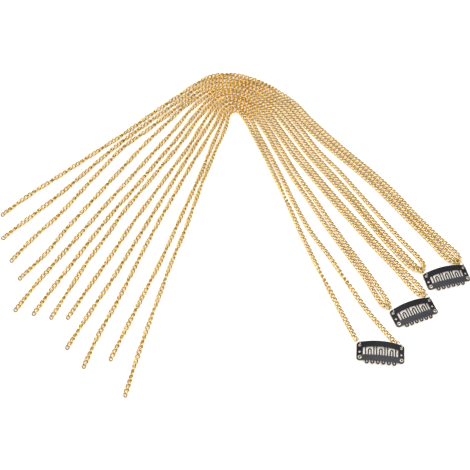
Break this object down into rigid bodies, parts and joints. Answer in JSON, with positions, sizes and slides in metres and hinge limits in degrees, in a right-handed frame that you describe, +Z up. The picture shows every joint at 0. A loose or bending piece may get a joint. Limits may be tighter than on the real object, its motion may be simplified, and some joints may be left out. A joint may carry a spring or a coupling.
{
  "type": "hair chain",
  "caption": "Snap combs carrying loose curb chains that fall over the hair, joined by clip rings, with a small ring at each free end, laid flat in an arch",
  "frame": {"origin": "middle of the footprint of the whole object as it lies, on the surface it lies on", "axes": "+X to the right along the arch's width, +Y from the free ends towards the crest of the arch, +Z up from the surface"},
  "size_m": [0.3418, 0.291, 0.0065],
  "materials": {
    "comb_black": "satin black lacquer on spring steel",
    "strip_black": "satin black lacquer, fine texture",
    "eyelet_brass": "polished",
    "ring_steel": "bright plated",
    "chain_gold": "bright light gold plating"
  },
  "bodies": {
    "root": {"front_clip_plate": "comb_black", "front_clip_strip": "strip_black", "front_clip_eyelet_left": "eyelet_brass", "front_clip_eyelet_right": "eyelet_brass", "front_clip_ring_left": "ring_steel", "front_clip_ring_right": "ring_steel", "middle_clip_plate": "comb_black", "middle_clip_strip": "strip_black", "middle_clip_eyelet_left": "eyelet_brass", "middle_clip_eyelet_right": "eyelet_brass", "middle_clip_ring_left": "ring_steel", "middle_clip_ring_right": "ring_steel", "right_clip_plate": "comb_black", "right_clip_strip": "strip_black", "right_clip_eyelet_left": "eyelet_brass", "right_clip_eyelet_right": "eyelet_brass", "right_clip_ring_left": "ring_steel", "right_clip_ring_right": "ring_steel", "strand_1": "chain_gold", "strand_2": "chain_gold", "strand_3": "chain_gold", "strand_4": "chain_gold", "strand_5": "chain_gold", "strand_6": "chain_gold", "strand_7": "chain_gold", "strand_8": "chain_gold", "strand_9": "chain_gold", "strand_10": "chain_gold", "strand_11": "chain_gold", "strand_12": "chain_gold", "end_ring_1": "ring_steel", "end_ring_2": "ring_steel", "end_ring_3": "ring_steel", "end_ring_4": "ring_steel", "end_ring_5": "ring_steel", "end_ring_6": "ring_steel", "end_ring_7": "ring_steel", "end_ring_8": "ring_steel", "end_ring_9": "ring_steel", "end_ring_10": "ring_steel", "end_ring_11": "ring_steel", "end_ring_12": "ring_steel"}
  },
  "joints": []
}
